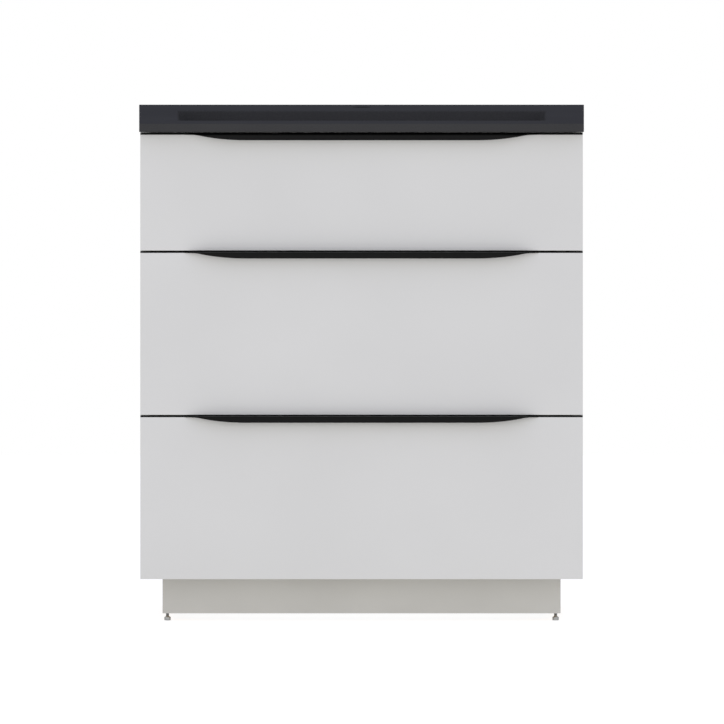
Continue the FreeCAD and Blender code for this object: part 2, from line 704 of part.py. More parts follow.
def handle(drawer, at, high):
    """Edge pull: a plate on the front's top edge, a lip in front and a flange behind."""
    body = sub_part(f"drawer_{drawer}_handle", at)
    face = "-Sizes.front_thick"
    nose = "(-Sizes.front_thick - Sizes.handle_reach)"
    low = f"({high} - Sizes.lip_drop)"
    shoulder = "Sizes.handle_shoulder"
    tip = "Sizes.handle_half"
    plan = sketch(body, "plan", "XY_Plane", low)
    outline(plan, [(f"-{shoulder}", nose), (shoulder, nose), (tip, face),
                   (tip, "Sizes.flange_sheet"), (f"-{tip}", "Sizes.flange_sheet"),
                   (f"-{tip}", face)],
            {1: (shoulder, -PLAN_BULGE), 5: (f"-{shoulder}", -PLAN_BULGE)})
    feature(body, "Pad", plan, "Sizes.lip_drop + Sizes.handle_plate")
    plate_top = value(f"{high} + Sizes.handle_plate")
    front_of_face = value(face) + NEAR
    dress(body, "Fillet", "Sizes.lip_round",
          lambda edge: at_height(edge, plate_top) and edge.BoundBox.YMax < front_of_face)

    # the hollow behind the lip follows the same curve one lip's thickness further in
    inner_nose = f"({nose} + Sizes.lip_thick)"
    span = f"({tip} - {shoulder})"
    bend = f"({span} * {span} / Sizes.handle_reach / 2 + Sizes.handle_reach / 2)"
    inner_bend = f"({bend} - Sizes.lip_thick)"
    inner_reach = "(Sizes.handle_reach - Sizes.lip_thick)"
    inner_tip = (f"({shoulder} + sqrt({inner_reach} * (2 * {inner_bend} - {inner_reach})))")
    beyond = f"({tip} + {PAST})"
    behind = f"(Sizes.flange_sheet + {PAST})"
    hollow = sketch(body, "hollow", "XY_Plane", high)
    outline(hollow, [(f"-{shoulder}", inner_nose), (shoulder, inner_nose), (inner_tip, face),
                     (beyond, face), (beyond, behind), (f"-{beyond}", behind),
                     (f"-{beyond}", face), (f"-{inner_tip}", face)],
            {1: (shoulder, -PLAN_BULGE), 7: (f"-{shoulder}", -PLAN_BULGE)})
    feature(body, "Pocket", hollow, f"Sizes.lip_drop + {PAST}")

    # the lip's lower edge: level in the middle, then a long arc and a short flick up to the plate
    flat = "Sizes.lip_flat_half"
    turn = "(Sizes.lip_flat_half + Sizes.lip_fade)"
    stop = "(Sizes.lip_flat_half + Sizes.lip_fade + Sizes.lip_flick)"
    turn_z = f"({low} + Sizes.lip_drop * Sizes.lip_fade / (Sizes.lip_fade + Sizes.lip_flick))"
    under = f"({low} - {PAST})"
    for word, side in SIDES:
        sweep = sketch(body, f"sweep_{word}", "XZ_Plane", f"-{nose} + {PAST}")
        outline(sweep, [(flip(side, flat), low), (flip(side, turn), turn_z),
                        (flip(side, stop), high), (flip(side, beyond), high),
                        (flip(side, beyond), under), (flip(side, flat), under)],
                {0: (flip(side, flat), -side * FADE_BULGE),
                 1: (flip(side, stop), side * FLICK_BULGE)})
        feature(body, "Pocket", sweep, f"Sizes.handle_reach + {PAST}")

    flange = sketch(body, "flange", "XZ_Plane")
    rectangle(flange, f"-{tip}", tip, f"({high} - Sizes.flange_drop)", high)
    feature(body, "Pad", flange, "Sizes.flange_sheet", backwards=True)
    bores = sketch(body, "bores", "XZ_Plane")
    polygons(bores, handle_screw_spots(high), "(Sizes.screw_round + 2 * Sizes.screw_play)",
             FASTENER_SIDES)
    feature(body, "Pocket", bores, "Sizes.flange_sheet")


def handle_screws(drawer, at, high):
    body = sub_part(f"drawer_{drawer}_handle_screws", at)
    shanks = sketch(body, "shanks", "XZ_Plane", "-Sizes.flange_sheet")
    polygons(shanks, handle_screw_spots(high), "Sizes.screw_round", FASTENER_SIDES)
    feature(body, "Pad", shanks, "Sizes.screw_in + Sizes.flange_sheet")
    heads = sketch(body, "heads", "XZ_Plane", "-Sizes.flange_sheet")
    polygons(heads, handle_screw_spots(high), "Sizes.screw_head_round", FASTENER_SIDES)
    feature(body, "Pad", heads, "Sizes.screw_head_thick", backwards=True)


def steel_side(drawer, at, word, side):
    """Folded steel side: outer wall, rounded top, inner wall, and a shelf under the bottom."""
    body = sub_part(f"drawer_{drawer}_side_{word}", at)
    profile = sketch(body, "section", "XZ_Plane")
    low = "Sizes.box_rise"
    fold = "(Sizes.steel_wall - Sizes.steel_sheet)"
    under = f"({BOX_TOP} - Sizes.steel_sheet)"
    shelf = f"({low} + Sizes.steel_sheet)"
    section = [("0", low), ("Sizes.steel_shelf", low), ("Sizes.steel_shelf", shelf),
               ("Sizes.steel_sheet", shelf), ("Sizes.steel_sheet", under), (fold, under),
               (fold, BOX_FLOOR), ("Sizes.steel_wall", BOX_FLOOR), ("Sizes.steel_wall", BOX_TOP),
               ("0", BOX_TOP)]
    outline(profile, [(flip(side, f"{BOX_HALF} - {u}"), z) for u, z in section])
    feature(body, "Pad", profile, "Sizes.box_deep", backwards=True)
    crest = value(BOX_TOP)
    dress(body, "Fillet", "Sizes.steel_round",
          lambda edge: along(edge, "y") and at_height(edge, crest))


def drawer_bottom(drawer, at):
    half = f"({BOX_HALF} - Sizes.steel_sheet)"
    body = block(f"drawer_{drawer}_bottom", at, (f"-{half}", half), ("0", "Sizes.box_deep"),
                 ("(Sizes.box_rise + Sizes.steel_sheet)", BOX_FLOOR))
    if drawer == "top":
        notch = sketch(body, "trap_notch", "XY_Plane", BOX_FLOOR)
        rectangle(notch, "-Sizes.trap_half", "Sizes.trap_half", TRAP_FRONT,
                  f"Sizes.box_deep + {PAST}")
        feature(body, "Pocket", notch, "Sizes.box_board")
        inner = value("Sizes.trap_half")
        dress(body, "Fillet", "Sizes.trap_round",
              lambda edge: along(edge, "z") and abs(abs(edge.BoundBox.XMin) - inner) < NEAR
              and edge.BoundBox.YMin < value("Sizes.box_deep") - PAST)


def tall_back(drawer, at):
    """Back board between the steel sides that widens above them to carry the galleries."""
    body = sub_part(f"drawer_{drawer}_back", at)
    face = sketch(body, "face", "XZ_Plane", "-Sizes.box_deep")
    crest = "(Sizes.box_rise + Sizes.tall_back_high)"
    right = [(BOX_INNER_HALF, BOX_FLOOR), (BOX_INNER_HALF, BOX_TOP), (BOX_HALF, BOX_TOP),
             (BOX_HALF, crest)]
    outline(face, right + [(f"-{x}", z) for x, z in reversed(right)])
    feature(body, "Pad", face, "Sizes.box_board")


def low_back(at, word, side):
    """One half of the top drawer's back, beside the space for the trap."""
    start = "(Sizes.trap_half + Sizes.guard_thick)"
    block(f"drawer_top_back_{word}", at, (flip(side, start), flip(side, BOX_INNER_HALF)),
          ("(Sizes.box_deep - Sizes.box_board)", "Sizes.box_deep"), (BOX_FLOOR, BOX_TOP))


def trap_guard(at):
    """Moulded wall that keeps what is in the top drawer out of the trap space."""
    body = sub_part("drawer_top_trap_guard", at)
    plan = sketch(body, "plan", "XY_Plane", BOX_FLOOR)
    out_x = "(Sizes.trap_half + Sizes.guard_thick)"
    out_y = f"({TRAP_FRONT} - Sizes.guard_thick)"
    outline(plan, [(f"-{out_x}", "Sizes.box_deep"), (f"-{out_x}", out_y), (out_x, out_y),
                   (out_x, "Sizes.box_deep"), ("Sizes.trap_half", "Sizes.box_deep"),
                   ("Sizes.trap_half", TRAP_FRONT), ("-Sizes.trap_half", TRAP_FRONT),
                   ("-Sizes.trap_half", "Sizes.box_deep")])
    feature(body, "Pad", plan, f"{BOX_TOP} - {BOX_FLOOR}")
    inner = value(TRAP_FRONT)
    outer = value(out_y)
    dress(body, "Fillet", "Sizes.trap_round",
          lambda edge: along(edge, "z") and abs(edge.BoundBox.YMin - inner) < NEAR)
    dress(body, "Fillet", "Sizes.trap_round + Sizes.guard_thick",
          lambda edge: along(edge, "z") and abs(edge.BoundBox.YMin - outer) < NEAR)


def front_clips(drawer, at):
    """Angle clips inside the hollow steel sides, screwed to the back of the front."""
    body = sub_part(f"drawer_{drawer}_front_clips", at)
    plan = sketch(body, "plan", "XY_Plane", f"Sizes.box_rise + Sizes.clip_margin")
    near = "Sizes.steel_sheet"
    far = "(Sizes.steel_wall - Sizes.steel_sheet - Sizes.clip_play)"
    tongue = "(Sizes.steel_sheet + Sizes.clip_sheet)"
    corners = [(near, "0"), (far, "0"), (far, "Sizes.clip_sheet"),
               (tongue, "Sizes.clip_sheet"), (tongue, "Sizes.clip_long"),
               (near, "Sizes.clip_long")]
    for _, side in SIDES:
        outline(plan, [(flip(side, f"{BOX_HALF} - {u}"), y) for u, y in corners])
    feature(body, "Pad", plan, "Sizes.steel_high - 2 * Sizes.clip_margin")


def galleries(drawer, at):
    """Rails over the steel sides, from the front to the tall back, rounded on top."""
    body = sub_part(f"drawer_{drawer}_galleries", at)
    face = sketch(body, "section", "XZ_Plane")
    low = "(Sizes.box_rise + Sizes.gallery_rise)"
    for _, side in SIDES:
        rectangle(face, flip(side, f"{BOX_HALF} - Sizes.gallery_inset"),
                  flip(side, f"{BOX_INNER_HALF} + Sizes.gallery_inset"),
                  low, f"({low} + Sizes.gallery_high)")
    feature(body, "Pad", face, "Sizes.box_deep - Sizes.box_board", backwards=True)
    crest = value(f"{low} + Sizes.gallery_high")
    dress(body, "Fillet", "Sizes.gallery_round",
          lambda edge: along(edge, "y") and at_height(edge, crest))


def drawer_box(drawer, level, high):
    at = ("0", FRONT_BACK_Y, f"{CARCASS_LOW} + {level}")
    drawer_front(drawer, at, high)
    handle(drawer, at, high)
    handle_screws(drawer, at, high)
    for word, side in SIDES:
        steel_side(drawer, at, word, side)
    drawer_bottom(drawer, at)
    front_clips(drawer, at)
    if drawer == "top":
        for word, side in SIDES:
            low_back(at, word, side)
        trap_guard(at)
    else:
        tall_back(drawer, at)
        galleries(drawer, at)


# ---------------------------------------------------------------- the whole cabinet
top_with_basin()
top_brackets()
for side_word, side_sign in SIDES:
    side_panel(side_word, side_sign)
bottom_panel()
back_panel()
rail("front")
rail("rear")
cam_locks()
front_bumpers()
plinth()
plinth_blocks()
glide_sockets()
for end_word in ("front", "rear"):
    for side_word, side_sign in SIDES:
        levelling_glide(end_word, side_word, side_sign)
for drawer_word, drawer_level, drawer_high in DRAWERS:
    runner("outer", drawer_word, drawer_level, outer_member())
    runner("middle", drawer_word, drawer_level, middle_member())
    runner("inner", drawer_word, drawer_level, inner_member())
    drawer_box(drawer_word, drawer_level, drawer_high)
runner_screws()
DOC.recompute()

for item in DOC.Objects:
    if "Invalid" in item.State or "Error" in item.State:
        raise RuntimeError(f"{item.Name} did not compute")
for body in BUILT:
    if body.Shape.isNull() or not body.Shape.isValid():
        raise RuntimeError(f"{body.Label} has no valid shape")

os.makedirs("parts", exist_ok=True)
for body in BUILT:
    body.Shape.exportStep(os.path.join("parts", f"{body.Label}.step"))
print(f"{len(BUILT)} sub-parts")
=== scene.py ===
import json
from math import cos, pi, radians, sin
import bmesh
import bpy
from mathutils import Matrix, Vector


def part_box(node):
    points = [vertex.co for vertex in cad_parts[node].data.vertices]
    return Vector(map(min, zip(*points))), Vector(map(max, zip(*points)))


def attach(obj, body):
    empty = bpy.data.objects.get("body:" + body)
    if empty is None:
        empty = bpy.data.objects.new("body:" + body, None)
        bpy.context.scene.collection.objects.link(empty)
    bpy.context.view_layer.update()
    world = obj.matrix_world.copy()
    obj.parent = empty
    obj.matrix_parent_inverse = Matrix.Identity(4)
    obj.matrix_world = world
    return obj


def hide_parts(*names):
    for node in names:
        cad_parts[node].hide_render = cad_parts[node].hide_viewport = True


# Base cabinet with three drawers under a cast top with a shallow basin, seen level from the
# front. Metres, +Z up, the front towards -Y.

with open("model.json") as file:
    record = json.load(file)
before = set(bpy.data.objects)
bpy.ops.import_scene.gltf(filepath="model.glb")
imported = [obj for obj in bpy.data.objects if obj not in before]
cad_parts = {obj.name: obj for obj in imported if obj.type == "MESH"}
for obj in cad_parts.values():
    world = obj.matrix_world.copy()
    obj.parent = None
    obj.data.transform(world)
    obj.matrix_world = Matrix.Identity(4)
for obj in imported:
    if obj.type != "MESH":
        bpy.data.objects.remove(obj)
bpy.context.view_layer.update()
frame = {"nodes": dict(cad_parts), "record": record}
NODES = frame["nodes"]
MM = 0.001
WELD = 1e-6
SIDES = ("left", "right")
DRAWERS = ("bottom", "middle", "top")


# ---------------------------------------------------------------- camera, light and floor
PIXEL = 1.7986 * MM            # what one pixel of the photograph shows of the object
PHOTO_PIXELS = 724
VIEW_DOWN = radians(3.26)      # the view looks down by this much, without perspective
VIEW_ACROSS = 0.8 * MM         # the picture's middle, along X
VIEW_UP = 452.7 * MM           # the picture's middle, square to the line of sight
VIEW_AWAY = 6.0

HORIZON_LIGHT = "#FFFEFC"      # the studio's own light, level with the object
OVERHEAD_LIGHT = "#D6DBF5"     # and from straight above
WHITE = "#FFFFFF"
LAMP_WIDE = 2.6
LAMP_HIGH = 1.7
LAMP_WATTS = 6
LAMP_COLOUR = "#FFFDF9"
LAMP_AT = Vector((-0.25, -3.2, 0.95))
LAMP_AIM = Vector((0, 0, 0.45))


def add(tree, kind, inputs=None, **settings):
    """A node with its settings; each input is given a number, a colour or another's output."""
    node = tree.nodes.new(kind)
    for name, setting in settings.items():
        setattr(node, name, setting)
    for socket, given in (inputs or {}).items():
        if isinstance(given, bpy.types.NodeSocket):
            tree.links.new(given, node.inputs[socket])
        else:
            node.inputs[socket].default_value = given
    return node


def srgb(code):
    """A colour written as sRGB hex, in the linear values that shaders take."""
    parts = [int(code[i:i + 2], 16) / 255 for i in (1, 3, 5)]
    return tuple(p / 12.92 if p <= 0.04045 else ((p + 0.055) / 1.055) ** 2.4 for p in parts) + (1,)


def camera():
    lens = bpy.data.cameras.new("front view")
    lens.type = "ORTHO"
    lens.ortho_scale = PHOTO_PIXELS * PIXEL
    eye = bpy.data.objects.new("front view", lens)
    up = Vector((0, sin(VIEW_DOWN), cos(VIEW_DOWN)))
    back = Vector((0, -cos(VIEW_DOWN), sin(VIEW_DOWN)))
    eye.location = Vector((VIEW_ACROSS, 0, 0)) + up * VIEW_UP + back * VIEW_AWAY
    eye.rotation_euler = (pi / 2 - VIEW_DOWN, 0, 0)
    bpy.context.scene.collection.objects.link(eye)
    bpy.context.scene.camera = eye


def seen_directly(tree):
    """1 for rays from the camera, in a mirror or through glass, and 0 for the light itself."""
    path = add(tree, "ShaderNodeLightPath")
    both = add(tree, "ShaderNodeMath", {0: path.outputs["Is Camera Ray"],
                                        1: path.outputs["Is Glossy Ray"]}, operation="ADD")
    total = add(tree, "ShaderNodeMath", {0: both.outputs[0],
                                         1: path.outputs["Is Transmission Ray"]},
                operation="ADD", use_clamp=True)
    return total.outputs[0]


def sky():
    """A white studio: brightest at the horizon, a little dimmer and bluish overhead."""
    world = bpy.data.worlds.new("studio")
    bpy.context.scene.world = world
    world.use_nodes = True
    tree = world.node_tree
    tree.nodes.clear()
    way = add(tree, "ShaderNodeTexCoord").outputs["Generated"]
    height = add(tree, "ShaderNodeSeparateXYZ", {0: way}).outputs["Z"]
    light = add(tree, "ShaderNodeMix", {"Factor": height, 6: srgb(HORIZON_LIGHT),
                                        7: srgb(OVERHEAD_LIGHT)}, data_type="RGBA")
    shown = add(tree, "ShaderNodeMix", {"Factor": seen_directly(tree), 6: light.outputs[2],
                                        7: srgb(WHITE)}, data_type="RGBA")
    glow = add(tree, "ShaderNodeBackground", {"Color": shown.outputs[2], "Strength": 1})
    add(tree, "ShaderNodeOutputWorld", {"Surface": glow.outputs[0]})


def softbox():
    """One large weak lamp in front of the cabinet, a little to the left."""
    lamp = bpy.data.lights.new("front softbox", "AREA")
    lamp.shape = "RECTANGLE"
    lamp.size = LAMP_WIDE
    lamp.size_y = LAMP_HIGH
    lamp.energy = LAMP_WATTS
    lamp.color = srgb(LAMP_COLOUR)[:3]
    holder = bpy.data.objects.new("front softbox", lamp)
    holder.location = LAMP_AT
    holder.rotation_euler = (LAMP_AIM - LAMP_AT).to_track_quat("-Z", "Y").to_euler()
    bpy.context.scene.collection.objects.link(holder)


FLOOR_HALF = 5.0
FLOOR_GLOW = 0.87              # what the floor shows the camera even in shadow, 1 being white
FLOOR_SHADE = "#898A8F"        # its own colour for the camera, which keeps the soft shadow
TABLE_LIGHT = 0.62             # the warm light that the lit table sends up at the object
TABLE_TINT = "#FFFCF3"
TABLE_COLOUR = "#BCBBB9"       # what the table gives back of the light that falls on it


def floor():
    shape = bmesh.new()
    bmesh.ops.create_grid(shape, x_segments=1, y_segments=1, size=FLOOR_HALF)
    data = bpy.data.meshes.new("floor")
    shape.to_mesh(data)
    shape.free()
    ground = bpy.data.objects.new("floor", data)
    bpy.context.scene.collection.objects.link(ground)
    paint = bpy.data.materials.new("studio floor")
    paint.use_nodes = True
    tree = paint.node_tree
    tree.nodes.clear()
    direct = seen_directly(tree)
    colour = add(tree, "ShaderNodeMix", {"Factor": direct, 6: srgb(TABLE_COLOUR),
                                         7: srgb(FLOOR_SHADE)}, data_type="RGBA")
    strength = add(tree, "ShaderNodeMix", {"Factor": direct, 2: TABLE_LIGHT, 3: FLOOR_GLOW})
    tint = add(tree, "ShaderNodeMix", {"Factor": direct, 6: srgb(TABLE_TINT),
                                       7: srgb(WHITE)}, data_type="RGBA")
    matt = add(tree, "ShaderNodeBsdfDiffuse", {"Color": colour.outputs[2]})
    glow = add(tree, "ShaderNodeEmission", {"Color": tint.outputs[2],
                                            "Strength": strength.outputs[0]})
    both = add(tree, "ShaderNodeAddShader", {0: matt.outputs[0], 1: glow.outputs[0]})
    add(tree, "ShaderNodeOutputMaterial", {"Surface": both.outputs[0]})
    data.materials.append(paint)


# ---------------------------------------------------------------- finishes
def every(size):
    """How often a pattern of a size in millimetres repeats in a metre."""
    return 1 / (size * MM)


def surface(name):
    """A new material with its tree, its shader and the place that its patterns are drawn on."""
    made = bpy.data.materials.new(name)
    made.use_nodes = True
    tree = made.node_tree
    tree.nodes.clear()
    shader = add(tree, "ShaderNodeBsdfPrincipled")
    add(tree, "ShaderNodeOutputMaterial", {"Surface": shader.outputs["BSDF"]})
    place = add(tree, "ShaderNodeTexCoord").outputs["Object"]
    return made, tree, shader, place


def drift(tree, place, size, low, high, detail=2):
    """A number that wanders between two values over patches of a size in millimetres."""
    noise = add(tree, "ShaderNodeTexNoise", {"Vector": place, "Scale": every(size),
                                             "Detail": detail})
    spread = add(tree, "ShaderNodeMapRange", {"Value": noise.outputs["Fac"], "From Min": 0.3,
                                              "From Max": 0.7, "To Min": low, "To Max": high})
    return spread.outputs["Result"]


def between(tree, share, first, second):
    """A colour between two, by a share; each is sRGB hex or another node's colour."""
    ends = [srgb(end) if isinstance(end, str) else end for end in (first, second)]
    mix = add(tree, "ShaderNodeMix", {"Factor": share, 6: ends[0], 7: ends[1]},
              data_type="RGBA")
    return mix.outputs[2]


def relief(tree, height, deep, under=None):
    """A normal from a height of 0 to 1 that stands for a depth in millimetres."""
    inputs = {"Height": height, "Distance": deep * MM}
    if under:
        inputs["Normal"] = under
    return add(tree, "ShaderNodeBump", inputs).outputs["Normal"]


def stretched(tree, place, x, y, z):
    """Coordinates on which a pattern is drawn longer along one way."""
    return add(tree, "ShaderNodeMapping", {"Vector": place, "Scale": (x, y, z)}).outputs[0]


def fill(shader, tree, **inputs):
    """Give the shader's own sockets their numbers, colours and patterns."""
    for name, given in inputs.items():
        socket = shader.inputs[name.replace("_", " ")]
        if isinstance(given, bpy.types.NodeSocket):
            tree.links.new(given, socket)
        else:
            socket.default_value = given


def cast_composite():
    """Mineral composite cast in a matt mould: fine stone grit and no gloss at all."""
    made, tree, shader, place = surface("cast mineral composite")
    cloud = between(tree, drift(tree, place, 160, 0, 1), "#383839", "#3C3C3D")
    # the 0.3 mm grit is drawn at 2 mm so that it shows
    grit = drift(tree, place, 2, 0, 0.5, detail=4)
    fill(shader, tree, Base_Color=between(tree, grit, cloud, "#474748"),
         Roughness=drift(tree, place, 6, 0.62, 0.76), Specular_IOR_Level=0,
         Normal=relief(tree, drift(tree, place, 1.2, 0, 1, detail=4), 0.015))
    return made


def silk_lacquer():
    """Acrylic lacquer sprayed on fibreboard: even and silky, with a trace of orange peel."""
    made, tree, shader, place = surface("silk matt lacquer")
    coat = between(tree, drift(tree, place, 260, 0, 1), "#D0D0CE", "#D3D3D1")
    fill(shader, tree, Base_Color=coat, Roughness=drift(tree, place, 40, 0.42, 0.5),
         Specular_IOR_Level=0.3,
         Normal=relief(tree, drift(tree, place, 4, 0, 1), 0.006))
    return made


def anthracite_powder():
    """Powder coat on pressed steel: dark, matt, with the fine grain of the cured powder."""
    made, tree, shader, place = surface("anthracite powder coat")
    coat = between(tree, drift(tree, place, 2.5, 0, 1, detail=3), "#050505", "#090909")
    fill(shader, tree, Base_Color=coat, Roughness=drift(tree, place, 9, 0.38, 0.5),
         Specular_IOR_Level=0.12,
         Normal=relief(tree, drift(tree, place, 0.8, 0, 1, detail=3), 0.02))
    return made


def edge_masks(tree, facing):
    """Where a board shows a raw edge: on its back and underside, but not on its two faces."""
    normal = add(tree, "ShaderNodeNewGeometry").outputs["Normal"]
    parts = add(tree, "ShaderNodeSeparateXYZ", {0: normal})
    size = add(tree, "ShaderNodeMath", {0: parts.outputs[facing]}, operation="ABSOLUTE")
    edge = add(tree, "ShaderNodeMath", {0: size.outputs[0], 1: 0.5}, operation="LESS_THAN")
    rear = add(tree, "ShaderNodeMath", {0: parts.outputs["Y"], 1: 0.5},
               operation="GREATER_THAN")
    under = add(tree, "ShaderNodeMath", {0: parts.outputs["Z"], 1: -0.5},
                operation="LESS_THAN")
    hidden = add(tree, "ShaderNodeMath", {0: rear.outputs[0], 1: under.outputs[0]},
                 operation="MAXIMUM")
    raw = add(tree, "ShaderNodeMath", {0: edge.outputs[0], 1: hidden.outputs[0]},
              operation="MULTIPLY")
    return raw.outputs[0]


def chips(tree, place):
    """Pressed wood particles of about 3 mm: their colour and their height."""
    cells = add(tree, "ShaderNodeTexVoronoi", {"Vector": place, "Scale": every(3)})
    shade = add(tree, "ShaderNodeSeparateColor", {0: cells.outputs["Color"]})
    straw = between(tree, shade.outputs[0], "#B8925E", "#D9BC8B")
    dark = drift(tree, place, 1.5, -0.6, 0.6)
    return between(tree, dark, straw, "#8A673F"), shade.outputs[1]


def melamine_board(name, facing, light, dark):
    """Melamine-faced chipboard: a printed, faintly pearled face, raw where no band is glued."""
    made, tree, shader, place = surface(name)
    face = between(tree, drift(tree, place, 120, 0, 1), light, dark)
    wood, bumps = chips(tree, place)
    raw = edge_masks(tree, facing)
    pearl = drift(tree, place, 1.5, 0, 0.15)
    height = add(tree, "ShaderNodeMix", {"Factor": raw, 2: pearl, 3: bumps})
    rough = add(tree, "ShaderNodeMix", {"Factor": raw, 2: drift(tree, place, 20, 0.4, 0.5),
                                        3: 0.9})
    fill(shader, tree, Base_Color=between(tree, raw, face, wood),
         Roughness=rough.outputs[0], Specular_IOR_Level=0.35,
         Normal=relief(tree, height.outputs[0], 0.15))
    return made


def back_hardboard():
    """Thin fibreboard: printed white inside the cabinet, brown felted fibre behind it."""
    made, tree, shader, place = surface("lacquered hardboard")
    normal = add(tree, "ShaderNodeNewGeometry").outputs["Normal"]
    parts = add(tree, "ShaderNodeSeparateXYZ", {0: normal})
    bare = add(tree, "ShaderNodeMath", {0: parts.outputs["Y"], 1: -0.5},
               operation="GREATER_THAN").outputs[0]
    fibre = between(tree, drift(tree, place, 3, 0, 1, detail=6), "#8C6A45", "#A98459")
    patch = between(tree, drift(tree, place, 90, 0, 0.35), fibre, "#7B5B39")
    white = between(tree, drift(tree, place, 90, 0, 1), "#D6D6D3", "#DADAD8")
    fill(shader, tree, Base_Color=between(tree, bare, white, patch),
         Roughness=drift(tree, place, 12, 0.6, 0.75),
         Normal=relief(tree, drift(tree, place, 2, 0, 1, detail=5), 0.08))
    return made


def planed_pine():
    """Planed pine: pale wood with darker late-wood lines along the upright grain."""
    made, tree, shader, place = surface("planed pine")
    bent = add(tree, "ShaderNodeTexNoise", {"Vector": stretched(tree, place, 1, 1, 0.1),
                                            "Scale": every(25), "Detail": 3})
    shifted = add(tree, "ShaderNodeMix", {"Factor": 0.02, 4: place, 5: bent.outputs["Color"]},
                  data_type="VECTOR")
    rings = add(tree, "ShaderNodeTexWave", {"Vector": shifted.outputs[1], "Scale": every(16),
                                            "Distortion": 2.0, "Detail": 2.0},
                wave_type="RINGS", rings_direction="Z")
    wood = between(tree, rings.outputs["Fac"], "#DDB988", "#C0935C")
    fill(shader, tree, Base_Color=wood, Roughness=0.7, Specular_IOR_Level=0.3,
         Normal=relief(tree, rings.outputs["Fac"], 0.05))
    return made


def zinc_plate():
    """Bright zinc on small steel parts: a bluish metal with soft blotches from the bath."""
    made, tree, shader, place = surface("zinc plated steel")
    metal = between(tree, drift(tree, place, 5, 0, 1, detail=3), "#B9BDC2", "#D2D4D5")
    fill(shader, tree, Base_Color=metal, Metallic=1,
         Roughness=drift(tree, place, 3, 0.28, 0.42),
         Normal=relief(tree, drift(tree, place, 0.8, 0, 1), 0.01))
    return made


def glide_metal():
    """Turned and nickel-plated steel of the levelling feet, dulled by handling."""
    made, tree, shader, place = surface("nickel plated steel")
    metal = between(tree, drift(tree, place, 4, 0, 1, detail=3), "#8F9090", "#A9A9A7")
    lines = add(tree, "ShaderNodeTexWave", {"Vector": place, "Scale": every(0.6),
                                            "Distortion": 0.5},
                wave_type="BANDS", bands_direction="Z")
    fill(shader, tree, Base_Color=metal, Metallic=1,
         Roughness=drift(tree, place, 2, 0.38, 0.5),
         Normal=relief(tree, lines.outputs["Fac"], 0.01))
    return made


def runner_steel():
    """Cold-rolled, galvanised strip: fine rolling lines along the slide, faint zinc flowers."""
    made, tree, shader, place = surface("galvanised runner steel")
    flowers = add(tree, "ShaderNodeTexVoronoi", {"Vector": place, "Scale": every(9)})
    shade = add(tree, "ShaderNodeSeparateColor", {0: flowers.outputs["Color"]})
    metal = between(tree, shade.outputs[0], "#A3A8AB", "#B9BDBF")
    lines = drift(tree, stretched(tree, place, 1, 0.01, 1), 0.9, 0, 1, detail=3)
    fill(shader, tree, Base_Color=metal, Metallic=1,
         Roughness=drift(tree, stretched(tree, place, 1, 0.02, 1), 3, 0.3, 0.46),
         Normal=relief(tree, lines, 0.008))
    return made


def grey_powder():
    """Grey powder coat on the folded drawer sides: satin, with a fine even texture."""
    made, tree, shader, place = surface("grey powder coat")
    coat = between(tree, drift(tree, place, 2, 0, 1, detail=3), "#8B8D8F", "#939597")
    fill(shader, tree, Base_Color=coat, Roughness=drift(tree, place, 10, 0.42, 0.52),
         Specular_IOR_Level=0.4,
         Normal=relief(tree, drift(tree, place, 0.9, 0, 1, detail=3), 0.02))
    return made


def moulded_guard():
    """Injection-moulded ABS with the fine spark-eroded texture of its mould."""
    made, tree, shader, place = surface("moulded grey ABS")
    plastic = between(tree, drift(tree, place, 70, 0, 1), "#85888B", "#8B8E90")
    fill(shader, tree, Base_Color=plastic, Roughness=drift(tree, place, 5, 0.46, 0.56),
         Normal=relief(tree, drift(tree, place, 0.9, 0, 1, detail=4), 0.03))
    return made


def clear_rubber():
    """Soft polyurethane stops: milky, slightly glossy, letting a little light in."""
    made, tree, shader, place = surface("clear soft rubber")
    milky = between(tree, drift(tree, place, 3, 0, 1), "#B4B6B6", "#C6C8C7")
    fill(shader, tree, Base_Color=milky, Roughness=drift(tree, place, 2, 0.25, 0.35),
         Subsurface_Weight=0.3, Subsurface_Scale=2 * MM,
         Normal=relief(tree, drift(tree, place, 1.5, 0, 1), 0.01))
    return made


def facing_axis(node):
    """The axis square to a board's two faces, which is the one it is thinnest along."""
    low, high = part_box(node)
    size = high - low
    return min(range(3), key=lambda axis: size[axis])


# the finish of each material slot, apart from the boards, whose raw edges need their own
PLAIN_FINISHES = {
    "composite_top": cast_composite,
    "front_lacquer": silk_lacquer,
    "handle_anthracite": anthracite_powder,
    "raw_wood": planed_pine,
    "zinc_plated_steel": zinc_plate,
    "glide_steel": glide_metal,
    "runner_steel": runner_steel,
    "drawer_steel": grey_powder,
    "guard_plastic": moulded_guard,
    "bumper_rubber": clear_rubber,
}
BOARD_FACES = {
    "carcass_board": ("#CFCFCD", "#D3D3D1"),
    # the plinth is the carcass's pale board; its darker, warmer colour here is painted shade for
    # its place in the shadow under the cabinet
    "plinth_board": ("#BBBAB6", "#BFBEBA"),
    "drawer_board": ("#C6C6C3", "#CBCBC8"),
}
finishes = {}


def finish_for(node, slot):
    """The material of a node, made once for each slot, and for each way that boards face."""
    if node == "back_panel":
        key = node
    elif slot in BOARD_FACES:
        key = (slot, facing_axis(node))
    else:
        key = slot
    if key not in finishes:
        if key == "back_panel":
            finishes[key] = back_hardboard()
        elif slot in BOARD_FACES:
            name = f"{slot.replace('_', ' ')} facing {'XYZ'[key[1]]}"
            finishes[key] = melamine_board(name, key[1], *BOARD_FACES[slot])
        else:
            finishes[key] = PLAIN_FINISHES[slot]()
    return finishes[key]


def finish_nodes():
    for part in frame["record"]["subparts"]:
        material = finish_for(part["node"], part["material_slot"])
        for holder in NODES[part["node"]].material_slots:
            holder.material = material


# ---------------------------------------------------------------- pieces
ROUND_STEPS = 24               # the flats of a turned piece
SMOOTH_UNDER = radians(30)     # faces that meet at less than this are shaded as one


